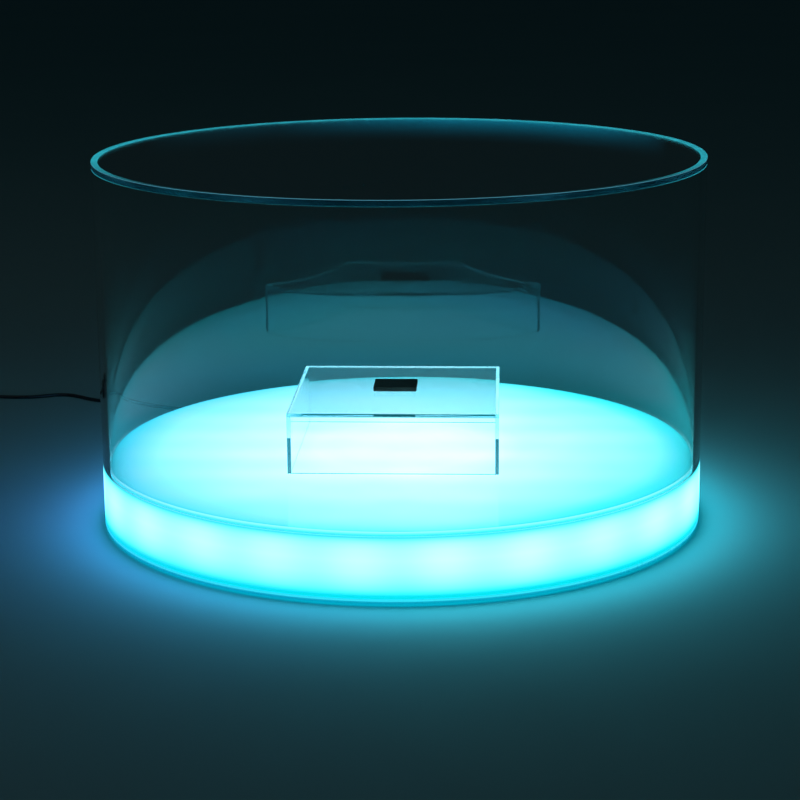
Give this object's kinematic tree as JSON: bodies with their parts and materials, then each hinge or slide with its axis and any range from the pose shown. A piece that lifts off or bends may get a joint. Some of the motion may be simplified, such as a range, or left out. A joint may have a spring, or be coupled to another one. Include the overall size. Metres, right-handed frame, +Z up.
{
  "type": "football display case",
  "caption": "Round lit display case: glowing opal base with a supply cable, clear lift-off drum cover with a flat top, and a low clear box riser with a pad for a football.",
  "frame": {"origin": "centre of the circle that the six rubber feet stand on, on the surface under the case", "axes": "+Z up through the axis of the base and cover; -Y is the front; the cable leaves the base at the back, +Y"},
  "size_m": [0.7885, 0.6497, 0.304],
  "materials": {
    "clear_acrylic": "polished clear acrylic",
    "cement_line": "cured clear cement, frosty",
    "lit_opal_acrylic": "opal acrylic lit from inside, cyan",
    "opal_acrylic": "opal acrylic, edge lit",
    "white_film": "matt white film",
    "led_board": "white solder mask",
    "led_chip": "resin over a lit LED",
    "lens": "clear moulded lens",
    "red_wire": "PVC insulated wire",
    "white_wire": "PVC insulated wire",
    "black_plastic": "fine spark texture",
    "circuit_board": "green solder mask",
    "component_grey": "moulded components",
    "cable_black": "soft black PVC",
    "rubber": "matt moulded rubber",
    "tie_blue": "hook and loop tape",
    "steel": "zinc plated",
    "spring_steel": "bright wire",
    "contact_brass": "stamped brass",
    "plug_nickel": "nickel plated",
    "button_grey": "satin ABS"
  },
  "bodies": {
    "base": {"feet": "rubber", "bottom_plate": "opal_acrylic", "post_screws": "steel", "deck_posts": "clear_acrylic", "wall_ring": "lit_opal_acrylic", "deck_ledge": "clear_acrylic", "deck": "lit_opal_acrylic", "reflector_film": "white_film", "led_hoop": "white_film", "led_strip_1": "led_board", "led_strip_2": "led_board", "led_strip_3": "led_board", "led_strip_4": "led_board", "led_strip_5": "led_board", "led_strip_6": "led_board", "led_strip_7": "led_board", "led_strip_8": "led_board", "strip_leds": "led_chip", "strip_jumpers": "red_wire", "rim_boards": "led_board", "rim_leds": "led_chip", "rim_lenses": "lens", "rim_wires": "white_wire", "driver_tray": "black_plastic", "driver_board": "circuit_board", "driver_components": "component_grey", "driver_lid": "black_plastic", "driver_screws": "steel", "supply_lead": "cable_black", "strip_feed": "red_wire", "rim_feed": "white_wire", "cable_relief": "cable_black", "cable_tail": "cable_black", "cable_lead": "cable_black", "cable_coil": "cable_black", "coil_tie": "tie_blue", "plug_lead": "cable_black", "switch_base": "black_plastic", "switch_shell": "black_plastic", "switch_contacts": "contact_brass", "switch_spring": "spring_steel", "plug_body": "cable_black", "plug_barrel": "plug_nickel", "plug_insulator": "black_plastic"},
    "cover": {"cover_tube": "clear_acrylic", "cover_bond": "cement_line", "cover_disc": "clear_acrylic"},
    "riser": {"riser_top": "clear_acrylic", "riser_front": "clear_acrylic", "riser_back": "clear_acrylic", "riser_left": "clear_acrylic", "riser_right": "clear_acrylic", "ball_pad": "rubber"},
    "button": {"switch_button": "button_grey"}
  },
  "joints": [
    {"name": "cover_lift", "type": "slide", "parent": "base", "child": "cover", "axis": [0, 0, 1], "range_m": [0, 0.32]},
    {"name": "riser_lift", "type": "slide", "parent": "base", "child": "riser", "axis": [0, 0, 1], "range_m": [0, 0.15]},
    {"name": "switch_press", "type": "slide", "parent": "base", "child": "button", "axis": [0, 0, -1], "range_m": [0, 0.0015], "stiffness_N_per_m": 800, "springref_m": -0.001, "deforming": ["switch_spring"]}
  ]
}
